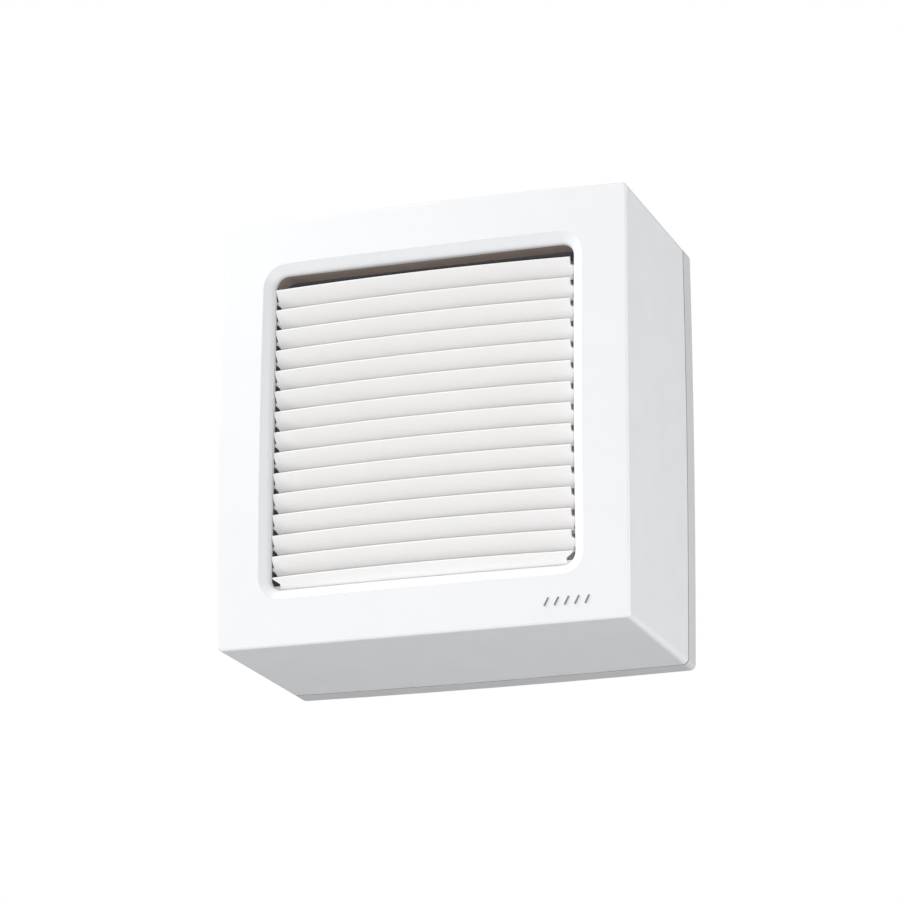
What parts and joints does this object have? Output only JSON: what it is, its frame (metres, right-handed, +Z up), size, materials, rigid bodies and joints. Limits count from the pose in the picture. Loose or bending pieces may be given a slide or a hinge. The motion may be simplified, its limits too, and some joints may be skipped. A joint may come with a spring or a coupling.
{
  "type": "heat recovery unit",
  "caption": "Square wall-mounted heat recovery unit with a domed louvred front cover, coupled tilting blades, reversing fan, filter and ceramic core in a round duct sleeve.",
  "frame": {"origin": "on the duct axis, in the plane of the wall that the rear housing is screwed to", "axes": "+Z up, -Y out of the wall into the room (the louvred front faces -Y), +X to the right of someone facing the unit"},
  "size_m": [0.252, 0.259, 0.262],
  "materials": {
    "dark_plastic": "fine matt moulded plastic",
    "link_plastic": "slippery acetal plastic",
    "mark_grey": "flat printed grey",
    "bearing_steel": "ground steel",
    "board_parts": "moulded component cases",
    "grey_plastic": "moulded plastic",
    "zinc_steel": "zinc-plated",
    "black_rubber": "matt rubber",
    "board_green": "solder-resist lacquer",
    "black_foam": "closed-cell foam",
    "fan_plastic": "satin glass-filled plastic",
    "frame_plastic": "fine matt moulded plastic",
    "filter_fleece": "pleated fleece",
    "white_shell": "smooth satin-gloss moulded plastic",
    "ceramic_core": "unglazed extruded ceramic",
    "louvre_white": "satin moulded plastic",
    "brown_plastic": "fine matt moulded plastic",
    "motor_metal": "die-cast, satin",
    "white_base": "fine satin moulded plastic",
    "terminal_plastic": "moulded nylon"
  },
  "bodies": {
    "housing": {"actuator_body": "dark_plastic", "bearing_front": "bearing_steel", "bearing_rear": "bearing_steel", "board_parts": "board_parts", "board_posts": "grey_plastic", "board_screws": "zinc_steel", "bulkhead": "grey_plastic", "bulkhead_pillars": "grey_plastic", "bulkhead_screws": "zinc_steel", "cable_clamp": "dark_plastic", "cable_grommet": "black_rubber", "control_board": "board_green", "core_knob": "dark_plastic", "core_seals": "black_foam", "cover_seal": "black_foam", "duct_sleeve": "grey_plastic", "fan_guard": "dark_plastic", "fan_screws": "zinc_steel", "fan_shroud": "dark_plastic", "filter_frame": "frame_plastic", "filter_pad": "filter_fleece", "frame_lugs": "grey_plastic", "heat_core": "ceramic_core", "louvre_frame": "frame_plastic", "louvre_frame_screws": "zinc_steel", "motor_body": "motor_metal", "motor_mount": "dark_plastic", "rail_left": "frame_plastic", "rail_right": "frame_plastic", "rear_housing": "white_base", "shroud_flange": "dark_plastic", "sleeve_flange": "grey_plastic", "sleeve_screws": "zinc_steel", "terminal_block": "terminal_plastic", "wall_gasket": "black_foam"},
    "cover": {"front_cover": "white_shell", "airflow_mark": "mark_grey", "louvre_hood": "brown_plastic", "hood_seal": "black_foam"},
    "fan": {"fan_rotor": "fan_plastic", "fan_shaft": "bearing_steel"},
    "drive": {"actuator_crank": "link_plastic"},
    "link": {"link_bar": "link_plastic"},
    "blade_01": {"louvre_blade_01": "louvre_white"},
    "blade_02": {"louvre_blade_02": "louvre_white"},
    "blade_03": {"louvre_blade_03": "louvre_white"},
    "blade_04": {"louvre_blade_04": "louvre_white"},
    "blade_05": {"louvre_blade_05": "louvre_white"},
    "blade_06": {"louvre_blade_06": "louvre_white"},
    "blade_07": {"louvre_blade_07": "louvre_white"},
    "blade_08": {"louvre_blade_08": "louvre_white"},
    "blade_09": {"louvre_blade_09": "louvre_white"},
    "blade_10": {"louvre_blade_10": "louvre_white"},
    "blade_11": {"louvre_blade_11": "louvre_white"},
    "blade_12": {"louvre_blade_12": "louvre_white"},
    "blade_13": {"louvre_blade_13": "louvre_white"},
    "blade_14": {"louvre_blade_14": "louvre_white"},
    "blade_15": {"louvre_blade_15": "louvre_white"}
  },
  "joints": [
    {"name": "cover_pull", "type": "slide", "parent": "housing", "child": "cover", "axis": [0, -1, 0], "range_m": [0, 0.15]},
    {"name": "fan_spin", "type": "hinge", "parent": "housing", "child": "fan", "pos_m": [0, -0.05, 0], "axis": [0, -1, 0], "continuous": true},
    {"name": "louvre_drive", "type": "hinge", "parent": "housing", "child": "drive", "pos_m": [0.0898, -0.12774, -0.10736], "axis": [1, 0, 0], "range_deg": [-28, 30]},
    {"name": "link_swing", "type": "hinge", "parent": "drive", "child": "link", "pos_m": [0.0915, -0.12175, -0.10768], "axis": [1, 0, 0], "range_deg": [-30, 28]},
    {"name": "blade_01_turn", "type": "hinge", "parent": "housing", "child": "blade_01", "pos_m": [0, -0.12774, 0.08179], "axis": [1, 0, 0], "range_deg": [-28, 30]},
    {"name": "blade_02_turn", "type": "hinge", "parent": "housing", "child": "blade_02", "pos_m": [0, -0.12774, 0.06918], "axis": [1, 0, 0], "range_deg": [-28, 30]},
    {"name": "blade_03_turn", "type": "hinge", "parent": "housing", "child": "blade_03", "pos_m": [0, -0.12774, 0.05657], "axis": [1, 0, 0], "range_deg": [-28, 30]},
    {"name": "blade_04_turn", "type": "hinge", "parent": "housing", "child": "blade_04", "pos_m": [0, -0.12774, 0.04396], "axis": [1, 0, 0], "range_deg": [-28, 30]},
    {"name": "blade_05_turn", "type": "hinge", "parent": "housing", "child": "blade_05", "pos_m": [0, -0.12774, 0.03135], "axis": [1, 0, 0], "range_deg": [-28, 30]},
    {"name": "blade_06_turn", "type": "hinge", "parent": "housing", "child": "blade_06", "pos_m": [0, -0.12774, 0.01874], "axis": [1, 0, 0], "range_deg": [-28, 30]},
    {"name": "blade_07_turn", "type": "hinge", "parent": "housing", "child": "blade_07", "pos_m": [0, -0.12774, 0.00613], "axis": [1, 0, 0], "range_deg": [-28, 30]},
    {"name": "blade_08_turn", "type": "hinge", "parent": "housing", "child": "blade_08", "pos_m": [0, -0.12774, -0.00648], "axis": [1, 0, 0], "range_deg": [-28, 30]},
    {"name": "blade_09_turn", "type": "hinge", "parent": "housing", "child": "blade_09", "pos_m": [0, -0.12774, -0.01909], "axis": [1, 0, 0], "range_deg": [-28, 30]},
    {"name": "blade_10_turn", "type": "hinge", "parent": "housing", "child": "blade_10", "pos_m": [0, -0.12774, -0.0317], "axis": [1, 0, 0], "range_deg": [-28, 30]},
    {"name": "blade_11_turn", "type": "hinge", "parent": "housing", "child": "blade_11", "pos_m": [0, -0.12774, -0.04431], "axis": [1, 0, 0], "range_deg": [-28, 30]},
    {"name": "blade_12_turn", "type": "hinge", "parent": "housing", "child": "blade_12", "pos_m": [0, -0.12774, -0.05692], "axis": [1, 0, 0], "range_deg": [-28, 30]},
    {"name": "blade_13_turn", "type": "hinge", "parent": "housing", "child": "blade_13", "pos_m": [0, -0.12774, -0.06953], "axis": [1, 0, 0], "range_deg": [-28, 30]},
    {"name": "blade_14_turn", "type": "hinge", "parent": "housing", "child": "blade_14", "pos_m": [0, -0.12774, -0.08214], "axis": [1, 0, 0], "range_deg": [-28, 30]},
    {"name": "blade_15_turn", "type": "hinge", "parent": "housing", "child": "blade_15", "pos_m": [0, -0.12774, -0.09475], "axis": [1, 0, 0], "range_deg": [-28, 30]}
  ],
  "couplings": [
    {"joint": "link_swing", "follows": "louvre_drive", "ratio": -1},
    {"joint": "blade_01_turn", "follows": "louvre_drive", "ratio": 1},
    {"joint": "blade_02_turn", "follows": "louvre_drive", "ratio": 1},
    {"joint": "blade_03_turn", "follows": "louvre_drive", "ratio": 1},
    {"joint": "blade_04_turn", "follows": "louvre_drive", "ratio": 1},
    {"joint": "blade_05_turn", "follows": "louvre_drive", "ratio": 1},
    {"joint": "blade_06_turn", "follows": "louvre_drive", "ratio": 1},
    {"joint": "blade_07_turn", "follows": "louvre_drive", "ratio": 1},
    {"joint": "blade_08_turn", "follows": "louvre_drive", "ratio": 1},
    {"joint": "blade_09_turn", "follows": "louvre_drive", "ratio": 1},
    {"joint": "blade_10_turn", "follows": "louvre_drive", "ratio": 1},
    {"joint": "blade_11_turn", "follows": "louvre_drive", "ratio": 1},
    {"joint": "blade_12_turn", "follows": "louvre_drive", "ratio": 1},
    {"joint": "blade_13_turn", "follows": "louvre_drive", "ratio": 1},
    {"joint": "blade_14_turn", "follows": "louvre_drive", "ratio": 1},
    {"joint": "blade_15_turn", "follows": "louvre_drive", "ratio": 1}
  ]
}
